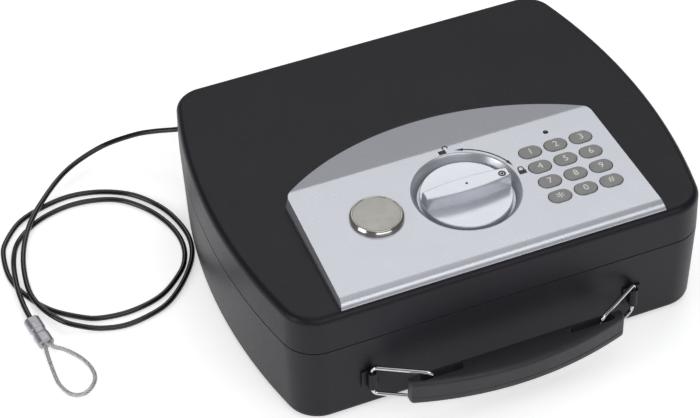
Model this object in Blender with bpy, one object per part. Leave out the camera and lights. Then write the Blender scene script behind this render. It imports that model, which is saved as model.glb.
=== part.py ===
"""Portable steel security box: keypad and turn knob in the lid, folding front handle, tether cable."""
import math

import bmesh
import bpy
from mathutils import Matrix, Vector

for oldObject in list(bpy.data.objects):
    bpy.data.objects.remove(oldObject, do_unlink=True)

# Driving dimensions in millimetres. X runs along the front edge, +Y to the back, +Z up.
mm = 0.001
depth = 274.0
frontWidth = 314.3
backWidth = 304.8
sideBulge = 20.8
frontCorner = 27.3
backCorner = 23.8
sheet = 1.2
footHeight = 2.0
rimHeight = 68.6
lidEdge = 69.3
lidTop = 101.0
lidRound = 5.5
lidDraft = 0.6
baseDraft = 1.8
baseRound = 5.0

plateX = 1.5
plateTilt = math.radians(1.8)
creaseY = -15.0
creaseZ = 110.5
facetSlope = 0.2
apexY = 27.35
wallSlope = 0.19
wallTop = 109.5
plateBackHalf = 121.7
plateFrontHalf = 124.6
plateSideY = -17.8
axisY = -63.5

wellRadius = 40.6
wellFloorRadius = 35.9
wellDepth = 8.0
knobRadius = 34.0
knobDiscTop = -3.45
ridgeTop = 7.3
ridgeHalf = 33.4
keyLong = 17.3
keyShort = 12.0
keyPitchX = 20.6
keyPitchY = 16.65
firstKey = (60.9, -45.4)
keyTravel = 1.0
capRadius = 19.8
capX = -68.8
cellRadius = 7.1
cellLength = 50.0

hingeY = 139.8
hingeZ = 69.0
gripFront = -178.5
gripBow = 14.0
handleX = -2.3
bailLength = 43.0
bailAngle = math.radians(30.5)
bailWire = 1.5
bailPivotX = 103.7
bailPivotY = -140.2
bailHigh = 43.8
bailLow = 17.7
cableRadius = 2.1
cableX = -120.0
cableZ = 42.0
eyeWire = 1.7

# The origin sits under the middle of the case with its handle and hinge.
shiftY = 16.9


def plateHeight(y):
    return creaseZ + (y - creaseY) * math.tan(plateTilt)


def spot(x, y, z):
    return Vector((x, y + shiftY, z + footHeight)) * mm


plateFrame = Matrix.Translation(spot(plateX, axisY, plateHeight(axisY))) @ Matrix.Rotation(plateTilt, 4, "X")
plateNormal = (0.0, -math.sin(plateTilt), math.cos(plateTilt))


def paint(name, colour, rough, metal=0.0):
    mat = bpy.data.materials.get(name)
    if mat is None:
        mat = bpy.data.materials.new(name)
        mat.use_nodes = True
        shader = mat.node_tree.nodes["Principled BSDF"]
        shader.inputs["Base Color"].default_value = (*colour, 1.0)
        shader.inputs["Roughness"].default_value = rough
        shader.inputs["Metallic"].default_value = metal
        mat.diffuse_color = (*colour, 1.0)
    return mat


def place(name, shape, look, at=None):
    """Turns a millimetre bmesh into a named object at a world matrix."""
    bmesh.ops.scale(shape, vec=(mm, mm, mm), verts=shape.verts)
    bmesh.ops.remove_doubles(shape, verts=shape.verts, dist=1e-7)
    bmesh.ops.recalc_face_normals(shape, faces=shape.faces)
    mesh = bpy.data.meshes.new(name)
    shape.to_mesh(mesh)
    shape.free()
    body = bpy.data.objects.new(name, mesh)
    bpy.context.scene.collection.objects.link(body)
    body.matrix_world = at if at is not None else Matrix.Translation(spot(0, 0, 0))
    mesh.materials.append(paint(name, *look))
    return body


def combine(body, tool, how="DIFFERENCE"):
    """Adds or cuts one closed shape and keeps the result as plain mesh."""
    bpy.context.view_layer.update()
    step = body.modifiers.new("step", "BOOLEAN")
    step.operation = how
    step.solver = "EXACT"
    step.object = tool
    graph = bpy.context.evaluated_depsgraph_get()
    mesh = bpy.data.meshes.new_from_object(body.evaluated_get(graph))
    body.modifiers.remove(step)
    old = body.data
    mesh.materials.clear()
    mesh.materials.append(old.materials[0])
    for face in mesh.polygons:
        face.material_index = 0
    body.data = mesh
    bpy.data.meshes.remove(old)
    bpy.data.objects.remove(tool, do_unlink=True)
    return body


def loft(rings, closed=False):
    """Skins equal-count rings; the ends are capped unless the stack closes on itself."""
    shape = bmesh.new()
    rows = [[shape.verts.new(p) for p in ring] for ring in rings]
    count = len(rows[0])
    pairs = list(zip(rows, rows[1:]))
    if closed:
        pairs.append((rows[-1], rows[0]))
    for low, high in pairs:
        for i in range(count):
            j = (i + 1) % count
            shape.faces.new((low[i], low[j], high[j], high[i]))
    if not closed:
        shape.faces.new(list(reversed(rows[0])))
        shape.faces.new(rows[-1])
    return shape


def lathe(profile, sides=48):
    """Revolves (radius, height) pairs about Z; the first and last pairs close with a flat disc."""
    turn = [2 * math.pi * i / sides for i in range(sides)]
    rings = [[(r * math.cos(a), r * math.sin(a), z) for a in turn] for r, z in profile]
    return loft(rings)


def ringLathe(profile, sides=48):
    turn = [2 * math.pi * i / sides for i in range(sides)]
    rings = [[(r * math.cos(a), r * math.sin(a), z) for a in turn] for r, z in profile]
    return loft(rings, closed=True)


def slab(points, low, high):
    return loft([[(x, y, low) for x, y in points], [(x, y, high) for x, y in points]])


def block(x0, x1, y0, y1, z0, z1, edge=0.0):
    shape = slab([(x0, y0), (x1, y0), (x1, y1), (x0, y1)], z0, z1)
    if edge > 0:
        bmesh.ops.bevel(shape, geom=list(shape.edges), offset=edge, segments=2, affect="EDGES", profile=0.5)
    return shape


def planOutline(inset, straight=10, corner=5):
    """Plan of the case: straight front and back, bowed sides, round corners."""
    a = Vector((frontWidth / 2, -depth / 2))
    b = Vector((backWidth / 2, depth / 2))
    chord = b - a
    length = chord.length
    outward = Vector((chord.y, -chord.x)) / length
    radius = (length * length / 4 + sideBulge * sideBulge) / (2 * sideBulge)
    middle = (a + b) / 2 - outward * (radius - sideBulge)
    side = radius - inset
    fronts = max(frontCorner - inset, 0.6)
    backs = max(backCorner - inset, 0.6)
    frontY = -depth / 2 + inset + fronts
    backY = depth / 2 - inset - backs
    frontMid = Vector((middle.x + math.sqrt((side - fronts) ** 2 - (frontY - middle.y) ** 2), frontY))
    backMid = Vector((middle.x + math.sqrt((side - backs) ** 2 - (backY - middle.y) ** 2), backY))
    startAngle = math.atan2(frontMid.y - middle.y, frontMid.x - middle.x)
    endAngle = math.atan2(backMid.y - middle.y, backMid.x - middle.x)
    right = []
    for i in range(corner + 1):
        t = -math.pi / 2 + (startAngle + math.pi / 2) * i / corner
        right.append((frontMid.x + fronts * math.cos(t), frontMid.y + fronts * math.sin(t)))
    for i in range(1, straight):
        t = startAngle + (endAngle - startAngle) * i / straight
        right.append((middle.x + side * math.cos(t), middle.y + side * math.sin(t)))
    for i in range(corner + 1):
        t = endAngle + (math.pi / 2 - endAngle) * i / corner
        right.append((backMid.x + backs * math.cos(t), backMid.y + backs * math.sin(t)))
    left = [(-x, y) for x, y in reversed(right)]
    return right + left


def planRing(inset, z):
    return [(x, y, z) for x, y in planOutline(inset)]


def plateOutline(grow):
    """Plan of the fascia: straight front, slanting sides, bowed back with eased corners."""
    backHalf = plateBackHalf + grow
    frontHalf = plateFrontHalf + grow
    ends = plateSideY
    rise = apexY + grow - ends
    radius = (backHalf * backHalf + rise * rise) / (2 * rise)
    spread = math.asin(backHalf / radius)
    arc = []
    for i in range(21):
        t = spread - 2 * spread * i / 20
        arc.append(Vector((radius * math.sin(t), ends + rise - radius + radius * math.cos(t))))
    sharp = arc[0]
    down = Vector((frontHalf, -142.0))
    ease = 4.5
    fromSide = sharp + (down - sharp).normalized() * ease
    along = (arc[1] - arc[0]).normalized()
    toArc = sharp + along * ease
    corner = []
    for i in range(5):
        t = i / 4
        corner.append(fromSide * (1 - t) ** 2 + sharp * 2 * t * (1 - t) + toArc * t * t)
    middlePart = arc[1:-1]
    half = [down] + corner
    mirrored = [Vector((-p.x, p.y)) for p in reversed(half)]
    return [(p.x + plateX, p.y) for p in half + middlePart + mirrored]


def plateSection(lipAngle):
    """Side view of the fascia top and the gap over the lid, as a closed (y, z) loop."""
    top = [(40.0, creaseZ - facetSlope * (40.0 - creaseY)), (creaseY, creaseZ)]
    startY = -124.6
    radius = 8.8
    midY = startY + radius * math.sin(plateTilt)
    midZ = plateHeight(startY) - radius * math.cos(plateTilt)
    first = math.pi / 2 + plateTilt
    last = math.radians(lipAngle)
    for i in range(7):
        t = first + (last - first) * i / 6
        top.append((midY + radius * math.cos(t), midZ + radius * math.sin(t)))
    lidMidY = -depth / 2 + lidDraft + lidRound
    lidMidZ = lidTop - lidRound
    under = lidRound + 0.3
    endAngle = math.atan2(top[-1][1] - lidMidZ, top[-1][0] - lidMidY)
    for i in range(6):
        t = endAngle + (math.pi / 2 - endAngle) * i / 5
        top.append((lidMidY + under * math.cos(t), lidMidZ + under * math.sin(t)))
    top.append((40.0, lidTop + 0.3))
    return top


def sweepX(section, x0, x1):
    return loft([[(x0, y, z) for y, z in section], [(x1, y, z) for y, z in section]])


def stadium(long, short, steps=6):
    r = short / 2
    run = (long - short) / 2
    points = []
    for i in range(steps + 1):
        t = -math.pi / 2 + math.pi * i / steps
        points.append((run + r * math.cos(t), r * math.sin(t)))
    for i in range(steps + 1):
        t = math.pi / 2 + math.pi * i / steps
        points.append((-run + r * math.cos(t), r * math.sin(t)))
    return points


def tool(shape, at=None):
    return place("tool", shape, ((0.5, 0.5, 0.5), 0.5), at)


def onPlate(x, y, z=0.0):
    """Matrix on the tilted fascia plane for case coordinates x, y."""
    return plateFrame @ Matrix.Translation(Vector((x - plateX, (y - axisY) / math.cos(plateTilt), z)) * mm)


blackSteel = ((0.022, 0.022, 0.026), 0.42, 0.0)
blackPlastic = ((0.028, 0.027, 0.03), 0.5, 0.0)
silverPaint = ((0.58, 0.60, 0.65), 0.34, 0.55)
zinc = ((0.62, 0.63, 0.66), 0.3, 1.0)
rubber = ((0.02, 0.02, 0.022), 0.8, 0.0)


def buildBase():
    rings = []
    for i in range(4):
        t = math.pi / 2 * i / 3
        rings.append(planRing(baseDraft + baseRound * (1 - math.sin(t)), baseRound * (1 - math.cos(t))))
    rings.append(planRing(0.0, rimHeight))
    rings.append(planRing(sheet, rimHeight))
    inner = baseRound - sheet
    for i in range(4):
        t = math.pi / 2 * (3 - i) / 3
        inset = baseDraft + sheet + inner * (1 - math.sin(t))
        rings.append(planRing(inset, sheet + inner * (1 - math.cos(t))))
    pan = place("base_pan", loft(rings), blackSteel)
    for x, y in ((-120.0, -104.0), (120.0, -104.0), (-120.0, 104.0), (120.0, 104.0)):
        hole = lathe([(2.6, -2.0), (2.6, 3.0)], 20)
        combine(pan, tool(hole, Matrix.Translation(spot(x, y, 0))))
    hole = lathe([(4.7, 128.0), (4.7, 142.0)], 24)
    combine(pan, tool(hole, Matrix.Translation(spot(cableX, 0, cableZ)) @ Matrix.Rotation(-math.pi / 2, 4, "X")))

    lip = [planRing(1.75, 57.5), planRing(1.75, 74.0), planRing(2.75, 74.0), planRing(2.75, 57.5)]
    place("rim_lip", loft(lip, closed=True), blackSteel)

    mat = [planRing(9.0, 1.5), planRing(9.4, 3.3)]
    place("floor_mat", loft(mat), ((0.03, 0.03, 0.034), 0.95, 0.0))

    corners = (("foot_front_left", -120.0, -104.0), ("foot_front_right", 120.0, -104.0),
               ("foot_back_left", -120.0, 104.0), ("foot_back_right", 120.0, 104.0))
    for name, x, y in corners:
        foot = [(7.2, -footHeight), (8.0, -footHeight + 0.8), (8.0, -0.3), (2.3, -0.3), (2.3, 1.2)]
        place(name, lathe(foot, 20), rubber, Matrix.Translation(spot(x, y, 0)))

    for name, x in (("keeper_left", plateX - 38.0), ("keeper_right", plateX + 38.0)):
        keeper = place(name, block(-9.0, 9.0, -133.9, -132.7, 46.0, 89.0), zinc, Matrix.Translation(spot(x, 0, 0)))
        combine(keeper, tool(block(-9.0, 9.0, -134.9, -133.5, 46.0, 56.5), keeper.matrix_world.copy()), "UNION")
        combine(keeper, tool(block(-7.4, 7.4, -133.3, -123.0, 80.0, 88.0), keeper.matrix_world.copy()), "UNION")
        combine(keeper, tool(block(-5.4, 5.4, -132.7, -120.0, 82.2, 92.0), keeper.matrix_world.copy()))


def buildHinge():
    span = 88.0
    knuckle = 35.2
    starts = [-span + i * knuckle for i in range(5)]
    for name, side, plate in (("hinge_leaf_base", 0, (55.0, 66.0)), ("hinge_leaf_lid", 1, (72.0, 83.0))):
        # The lid leaf carries the odd knuckles and the base leaf the even ones.
        strip = block(-span, span, 137.4, 138.6, plate[0], plate[1])
        leaf = place(name, strip, blackSteel)
        for i, x0 in enumerate(starts):
            if i % 2 != side:
                continue
            web = (65.0, hingeZ) if side == 0 else (hingeZ, 73.0)
            x1 = x0 + knuckle - 0.5
            combine(leaf, tool(block(x0, x1, 137.4, 138.6, web[0], web[1])), "UNION")
            barrel = lathe([(2.4, x0), (2.4, x1)], 12)
            turn = Matrix.Translation(spot(0, hingeY, hingeZ)) @ Matrix.Rotation(math.pi / 2, 4, "Y")
            combine(leaf, tool(barrel, turn), "UNION")
        bore = lathe([(1.7, -span - 2), (1.7, span + 2)], 12)
        turn = Matrix.Translation(spot(0, hingeY, hingeZ)) @ Matrix.Rotation(math.pi / 2, 4, "Y")
        combine(leaf, tool(bore, turn))
    pin = lathe([(1.0, -span - 0.8), (1.3, -span - 0.4), (1.3, span + 0.0), (1.0, span + 0.4)], 16)
    turn = Matrix.Translation(spot(0, hingeY, hingeZ)) @ Matrix.Rotation(math.pi / 2, 4, "Y")
    place("hinge_pin", pin, zinc, turn)


def buildLid():
    rings = [planRing(0.0, lidEdge)]
    for i in range(6):
        t = math.pi / 2 * i / 5
        rings.append(planRing(lidDraft + lidRound * (1 - math.cos(t)), lidTop - lidRound * (1 - math.sin(t))))
    outer = len(rings)
    inner = lidRound - sheet
    back = [planRing(sheet, lidEdge)]
    for i in range(6):
        t = math.pi / 2 * i / 5
        inset = lidDraft + sheet + inner * (1 - math.cos(t))
        back.append(planRing(inset, lidTop - sheet - inner * (1 - math.sin(t))))
    shell = loft(list(reversed(rings[:outer])) + back)
    turn = Matrix.Translation(spot(0, hingeY, hingeZ))
    bmesh.ops.translate(shell, vec=(0, -hingeY, -hingeZ), verts=shell.verts)
    lid = place("lid_shell", shell, blackSteel, turn)
    combine(lid, tool(lathe([(41.4, 95.0), (41.4, 115.0)], 48), Matrix.Translation(spot(plateX, axisY, 0))))
    combine(lid, tool(lathe([(13.2, 95.0), (13.2, 115.0)], 32), Matrix.Translation(spot(capX, axisY, 0))))
    window = block(firstKey[0] - 12.5, firstKey[0] + 2 * keyPitchX + 12.5, -106.0, -24.5, 95.0, 115.0)
    combine(lid, tool(window))


def buildFascia():
    # The side walls lean outwards towards their foot.
    low = [(x, y, 90.0) for x, y in plateOutline(wallSlope * (wallTop - 90.0))]
    high = [(x, y, 120.0) for x, y in plateOutline(wallSlope * (wallTop - 120.0))]
    plate = place("fascia", sweepX(plateSection(161.5), -140.0, 140.0), silverPaint)
    combine(plate, tool(loft([low, high])), "INTERSECT")
    # A pocket from below takes the key mat and its circuit board.
    pocket = block(firstKey[0] - 12.0, firstKey[0] + 2 * keyPitchX + 12.0, -105.5, -25.0, -14.0, -3.0)
    bmesh.ops.translate(pocket, vec=(-plateX, -axisY, 0.0), verts=pocket.verts)
    combine(plate, tool(pocket, plateFrame.copy()))
    boss = lathe([(40.9, -10.2), (40.9, -1.5)], 48)
    combine(plate, tool(boss, plateFrame.copy()), "UNION")
    well = [(wellFloorRadius, -wellDepth), (wellFloorRadius, -6.6), (wellRadius - 0.5, -0.35),
            (wellRadius + 0.2, 0.05), (wellRadius + 0.2, 3.0)]
    combine(plate, tool(lathe(well, 48), plateFrame.copy()))
    combine(plate, tool(lathe([(5.4, -14.0), (5.4, -4.0)], 24), plateFrame.copy()))
    combine(plate, tool(lathe([(10.4, -12.0), (10.4, 4.0)], 32), onPlate(capX, axisY)))
    for name, x, y in keySpots():
        combine(plate, tool(slab(stadium(keyLong + 1.0, keyShort + 1.0), -12.0, 4.0), onPlate(x, y)))
    combine(plate, tool(lathe([(2.0, -12.0), (2.0, 4.0)], 16), onPlate(*ledSpot)))

    # A thin dark bead closes the joint between the fascia's foot and the lid.
    bezel = place("fascia_bezel", slab(plateOutline(2.8), lidTop + 0.1, lidTop + 0.8), blackPlastic)
    combine(bezel, tool(slab(plateOutline(1.85), 90.0, 120.0)))
    combine(bezel, tool(block(-150.0, 150.0, -160.0, -129.5, 90.0, 120.0)))


ledSpot = (80.9, -30.1)
keyNames = ("key_1", "key_2", "key_3", "key_4", "key_5", "key_6",
            "key_7", "key_8", "key_9", "key_star", "key_0", "key_hash")


def keySpots():
    return [(name, firstKey[0] + (i % 3) * keyPitchX, firstKey[1] - (i // 3) * keyPitchY)
            for i, name in enumerate(keyNames)]


def buildKeypad():
    for name, x, y in keySpots():
        outline = stadium(keyLong, keyShort)
        rings = [[(px, py, -4.9) for px, py in outline], [(px, py, 0.5) for px, py in outline]]
        for inset, z in ((0.25, 0.95), (1.0, 1.2)):
            soft = stadium(keyLong - 2 * inset, keyShort - 2 * inset)
            rings.append([(px, py, z) for px, py in soft])
        place(name, loft(rings), ((0.24, 0.24, 0.235), 0.55, 0.0), onPlate(x, y))
    midX = firstKey[0] + keyPitchX
    midY = firstKey[1] - 1.5 * keyPitchY
    place("keypad_mat", block(-30.5, 30.5, -33.0, 33.0, -7.0, -6.3), rubber, onPlate(midX, midY))
    place("keypad_board", block(-31.0, 31.0, -34.0, 42.5, -9.0, -7.4), ((0.02, 0.16, 0.06), 0.4, 0.0),
          onPlate(midX, midY))
    lens = [(1.7, -6.9), (1.7, 0.1), (1.3, 0.5), (0.6, 0.7)]
    place("led_lens", lathe(lens, 16), ((0.02, 0.02, 0.022), 0.15, 0.0), onPlate(*ledSpot))


def buildKnob():
    disc = [(knobRadius - 0.3, -7.7), (knobRadius, -7.4), (knobRadius, knobDiscTop - 0.35),
            (knobRadius - 0.4, knobDiscTop)]
    knob = place("knob", lathe(disc, 48), silverPaint, plateFrame.copy())
    rows = []
    for z, short, flare in ((knobDiscTop - 1.0, 0.0, 1.6), (knobDiscTop + 0.4, 0.0, 1.2),
                            (ridgeTop - 1.0, 0.2, 0.1), (ridgeTop - 0.3, 0.5, -0.2), (ridgeTop, 1.1, -0.8)):
        ring = []
        for i in range(11):
            u = -1 + 2 * i / 10
            ring.append(((ridgeHalf - short) * u, -(4.1 + 2.7 * (1 - u * u) + flare), z))
        for i in range(11):
            u = 1 - 2 * i / 10
            ring.append(((ridgeHalf - short) * u, 4.1 + 2.7 * (1 - u * u) + flare, z))
        rows.append(ring)
    combine(knob, tool(loft(rows), plateFrame.copy()), "UNION")
    place("knob_spindle", lathe([(4.5, -18.7), (4.9, -18.3), (4.9, -8.0)], 24), zinc, plateFrame.copy())
    cam = place("lock_cam", lathe([(14.6, -21.0), (15.0, -20.6), (15.0, -19.4), (14.6, -19.0)], 28), zinc,
                plateFrame.copy())
    rest = math.radians(-44.0)
    pin = lathe([(1.8, -25.6), (2.0, -25.3), (2.0, -20.0)], 20)
    at = plateFrame @ Matrix.Translation(Vector((camReach * math.cos(rest), camReach * math.sin(rest), 0)) * mm)
    combine(cam, tool(pin, at), "UNION")


camReach = 6.5


def buildLock():
    x0, x1, y0, y1 = -106.0, 119.0, -112.0, -8.0
    housing = place("lock_housing", block(x0, x1, y0, y1, 79.0, 99.4), blackPlastic)
    combine(housing, tool(block(x0 + 1.8, x1 - 1.8, y0 + 1.8, y1 - 1.8, 80.8, 110.0)))
    for x in (plateX - 38.0, plateX + 38.0):
        combine(housing, tool(block(x - 5.6, x + 5.6, y0 - 4.0, y0 + 4.0, 82.0, 88.0)))

    carriage = place("bolt_carriage", block(-46.0, 46.0, -86.0, -58.0, 84.0, 86.0), zinc,
                     Matrix.Translation(spot(plateX, 0, 0)))
    for x in (-38.0, 38.0):
        bolt = block(x - 5.0, x + 5.0, -132.2, -78.0, 82.5, 87.5, 0.6)
        combine(carriage, tool(bolt, carriage.matrix_world.copy()), "UNION")
    pinX = camReach * (1 + math.cos(math.radians(44.0))) / 2
    pinY = axisY - camReach * math.sin(math.radians(44.0)) + 24.0 * math.sin(plateTilt)
    slot = slab([(x + pinX, y + pinY) for x, y in stadium(7.4, 5.0)], 80.0, 90.0)
    combine(carriage, tool(slot, carriage.matrix_world.copy()))

    solenoid = block(-46.0, -22.0, -48.0, -34.0, 83.0, 97.0, 0.8)
    box = place("solenoid_body", solenoid, ((0.05, 0.05, 0.06), 0.4, 0.0), Matrix.Translation(spot(0, 0, 0)))
    turn = Matrix.Translation(spot(0, -41.0, 90.0)) @ Matrix.Rotation(math.pi / 2, 4, "Y")
    combine(box, tool(lathe([(2.6, -40.0), (2.6, -15.0)], 20), turn))
    place("solenoid_plunger", lathe([(2.2, -34.0), (2.2, -12.6), (1.8, -12.2)], 20), zinc, turn)

    barrel = [(12.4, 0.3), (12.4, 1.0), (11.8, 1.3), (6.3, 1.3), (6.3, -24.0), (9.8, -24.0), (9.8, 0.3)]
    place("override_body", ringLathe(barrel, 24), zinc, onPlate(capX, axisY))
    plug = place("override_plug", lathe([(5.9, -24.4), (5.9, 1.0), (5.6, 1.3)], 20), zinc, onPlate(capX, axisY))
    combine(plug, tool(block(-0.7, 0.7, -3.6, 3.6, -7.0, 4.0), onPlate(capX, axisY)))
    combine(plug, tool(block(-4.0, 14.0, -3.0, 3.0, -26.0, -24.1), onPlate(capX, axisY)), "UNION")
    cap = [(14.2, 2.4), (14.2, 0.35), (capRadius - 0.3, 0.35), (capRadius, 0.65), (capRadius, 2.0),
           (capRadius - 0.9, 3.0), (18.2, 3.8), (17.6, 3.9)]
    place("override_cap", lathe(cap, 40), ((0.36, 0.355, 0.34), 0.3, 0.9), onPlate(capX, axisY))


batteryY = 18.0


def buildBattery():
    wide, long = 66.0, 56.0
    box = place("battery_box", block(-wide / 2, wide / 2, batteryY, batteryY + long, 81.1, 99.4), blackPlastic)
    combine(box, tool(block(-30.8, 30.8, batteryY + 2.2, batteryY + long - 2.2, 75.0, 98.5)))
    combine(box, tool(block(-31.8, 31.8, batteryY + 1.6, batteryY + long + 3.0, 82.3, 83.9)))
    # The back wall is notched so that the cover's finger ribs can slide out under it.
    combine(box, tool(block(-9.8, 9.8, batteryY + long - 3.0, batteryY + long + 3.0, 80.0, 83.1)))
    cover = place("battery_cover", block(-31.4, 31.4, batteryY + 2.0, batteryY + long - 0.2, 82.5, 83.7),
                  blackPlastic)
    for i in range(3):
        y = batteryY + long - 14.0 + 3.2 * i
        combine(cover, tool(block(-9.0, 9.0, y, y + 1.2, 81.7, 83.1)), "UNION")
    for i in range(4):
        x = -22.8 + 15.2 * i
        tip = 1 if i % 2 else -1
        cell = [(cellRadius - 0.5, -24.6), (cellRadius, -24.2), (cellRadius, 23.0), (cellRadius - 0.5, 23.4),
                (2.7, 23.4), (2.6, 24.6)]
        turn = Matrix.Translation(spot(x, batteryY + long / 2, 91.0)) @ Matrix.Rotation(tip * math.pi / 2, 4, "X")
        place("cell_%d" % (i + 1), lathe(cell, 16), ((0.45, 0.31, 0.1), 0.35, 0.6), turn)


def buildHandle():
    """Bowed grip with a slot near each end, held by two wire loops on upright pivots."""
    half = 84.0
    low, high = 20.0, 41.6
    slotY = bailPivotY - bailLength * math.sin(bailAngle)
    backY = slotY + 4.8

    def frontAt(x):
        return gripFront + gripBow * (x / half) ** 2

    def section(x, squeeze):
        # Flat back, full front with generous edges, seen along X.
        f = frontAt(x) + squeeze
        points = [(backY - squeeze * 0.3, low + 1.0 + squeeze), (backY - 1.0 - squeeze * 0.3, low + squeeze)]
        points += [(f + 3.2, low + squeeze), (f + 1.0, low + 1.0 + squeeze), (f, low + 3.6 + squeeze)]
        points += [(f, high - 3.6 - squeeze), (f + 1.0, high - 1.0 - squeeze), (f + 3.2, high - squeeze)]
        points += [(backY - 1.0 - squeeze * 0.3, high - squeeze), (backY - squeeze * 0.3, high - 1.0 - squeeze)]
        return points

    stations = [(-half, 1.2), (-half + 1.2, 0.2)] + [(-half + 3.0 + (2 * half - 6.0) * i / 20, 0.0) for i in range(21)]
    stations += [(half - 1.2, 0.2), (half, 1.2)]
    shape = loft([[(x, y, z) for y, z in section(x, s)] for x, s in stations])
    grip = place("handle_grip", shape, blackPlastic, Matrix.Translation(spot(handleX, 0, 0)))
    for side in (-1, 1):
        centre = side * 58.5
        slot = slab([(x + centre, y + slotY) for x, y in stadium(36.0, 5.4)], 0.0, 60.0)
        combine(grip, tool(slot, Matrix.Translation(spot(handleX, 0, 0))))

    for name, side in (("bail_left", -1), ("bail_right", 1)):
        bend = 4.0
        corners = [(0.0, bailLow), (bailLength, bailLow), (bailLength, bailHigh), (0.0, bailHigh)]
        centres = [(bend, bailLow + bend), (bailLength - bend, bailLow + bend),
                   (bailLength - bend, bailHigh - bend), (bend, bailHigh - bend)]
        starts = [180, 270, 0, 90]
        path = []
        for (cx, cz), start in zip(centres, starts):
            for i in range(4):
                t = math.radians(start + 90 * i / 3)
                path.append((Vector((cx + bend * math.cos(t), 0, cz + bend * math.sin(t))), t))
        rings = []
        for point, t in path:
            outward = Vector((math.cos(t), 0, math.sin(t)))
            across = Vector((0, 1, 0))
            ring = []
            for k in range(8):
                a = 2 * math.pi * k / 8
                ring.append(point + outward * bailWire * math.cos(a) + across * bailWire * math.sin(a))
            rings.append(ring)
        heading = -bailAngle if side < 0 else math.pi + bailAngle
        at = Matrix.Translation(spot(handleX + side * bailPivotX, bailPivotY, 0)) @ Matrix.Rotation(heading, 4, "Z")
        place(name, loft(rings, closed=True), ((0.7, 0.7, 0.72), 0.15, 1.0), at)

    for name, side in (("bracket_left", -1), ("bracket_right", 1)):
        at = Matrix.Translation(spot(handleX + side * bailPivotX, 0, 0))
        lift = Matrix.Translation(spot(handleX + side * bailPivotX, bailPivotY, 0))
        plate = place(name, block(-7.0, 7.0, -137.9, -136.7, 23.2, 38.4), blackSteel, at)
        barrel = lathe([(3.3, 23.2), (3.3, 38.4)], 20)
        combine(plate, tool(barrel, lift), "UNION")
        combine(plate, tool(lathe([(1.85, 20.0), (1.85, 41.0)], 20), lift.copy()))


# Hand-chosen points of the cable's centre line: case x and y, then height above the floor.
cableRoute = [
    (cableX, 139.6, 44.0), (cableX, 147.0, 43.9), (-123.0, 157.0, 41.8), (-131.0, 165.5, 38.2),
    (-143.3, 171.8, 34.0), (-159.1, 182.0, 29.5), (-175.6, 190.3, 24.5), (-202.3, 196.9, 15.5),
    (-233.7, 187.7, 9.5), (-262.2, 162.5, 7.2), (-280.6, 137.7, 6.9), (-293.7, 107.0, 6.9),
    (-299.4, 74.0, 6.9), (-296.5, 51.4, 6.9), (-286.7, 31.8, 6.6), (-274.3, 22.0, 4.6),
    (-260.5, 15.7, 2.6), (-242.7, 11.8, 2.2), (-222.5, 14.6, 2.2), (-204.7, 22.0, 2.2),
    (-186.5, 39.7, 2.2), (-172.7, 60.9, 2.2), (-167.5, 81.9, 2.2), (-169.8, 105.5, 2.2),
    (-177.6, 126.9, 2.2), (-192.7, 147.3, 2.2), (-213.9, 160.3, 2.2), (-237.5, 165.6, 2.2),
    (-260.3, 162.4, 2.2), (-283.0, 153.2, 2.2), (-299.7, 135.5, 2.2), (-306.1, 120.9, 2.2),
    (-308.3, 95.1, 2.2), (-302.2, 71.8, 2.2), (-289.6, 49.9, 2.2), (-270.9, 33.4, 2.2),
    (-257.1, 26.4, 2.2), (-233.8, 24.2, 2.2), (-208.1, 30.7, 2.2), (-187.4, 47.7, 2.2),
    (-178.1, 62.3, 2.2), (-174.2, 79.9, 2.2), (-176.2, 100.1, 2.2), (-183.9, 120.7, 2.2),
    (-195.9, 137.9, 2.2), (-209.2, 148.5, 2.2), (-229.3, 154.6, 2.2), (-249.3, 154.5, 2.2),
    (-271.6, 147.2, 2.2), (-291.1, 130.8, 2.9), (-301.5, 106.7, 6.4), (-306.6, 79.5, 6.9),
    (-307.6, 59.6, 5.9), (-306.6, 43.8, 4.6),
]
# The bare rope eye leaves the ferrule, rounds a teardrop and comes back beside itself.
eyeRoute = [
    (-305.0, 12.9, 4.5), (-305.6, 5.0, 3.4), (-306.2, -9.7, 1.9), (-306.0, -26.2, 1.9), (-301.2, -38.2, 1.9),
    (-293.6, -41.9, 1.9), (-285.4, -38.0, 1.9), (-279.8, -29.2, 1.9), (-279.9, -17.5, 1.9), (-284.4, -5.1, 1.9),
    (-292.0, 4.6, 3.2), (-298.4, 9.6, 4.2), (-300.6, 13.4, 4.5),
]


def floorPoint(point):
    x, y, height = point
    return Vector((x, y + shiftY, height)) * mm


def smoothPath(points, count):
    """Evenly spaced points on the smooth curve through the route."""
    ghost = [points[0] * 2 - points[1]] + points + [points[-1] * 2 - points[-2]]
    dense = []
    for i in range(1, len(ghost) - 2):
        a, b, c, d = ghost[i - 1:i + 3]
        for k in range(24):
            t = k / 24
            dense.append((b * 2 + (c - a) * t + (a * 2 - b * 5 + c * 4 - d) * t * t
                          + (b * 3 - a - c * 3 + d) * t ** 3) / 2)
    dense.append(points[-1])
    run = [0.0]
    for p, q in zip(dense, dense[1:]):
        run.append(run[-1] + (q - p).length)
    path = []
    k = 0
    for i in range(count):
        want = run[-1] * i / (count - 1)
        while k < len(run) - 2 and run[k + 1] < want:
            k += 1
        path.append(dense[k].lerp(dense[k + 1], (want - run[k]) / (run[k + 1] - run[k])))
    return path


def tube(name, path, radius, look, resolution):
    curve = bpy.data.curves.new(name, "CURVE")
    curve.dimensions = "3D"
    curve.bevel_depth = radius * mm
    curve.bevel_resolution = resolution
    curve.use_fill_caps = True
    line = curve.splines.new("POLY")
    line.points.add(len(path) - 1)
    for target, point in zip(line.points, path):
        target.co = (*point, 1.0)
    body = bpy.data.objects.new(name, curve)
    bpy.context.scene.collection.objects.link(body)
    curve.materials.append(paint(name, *look))
    return body


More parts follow.
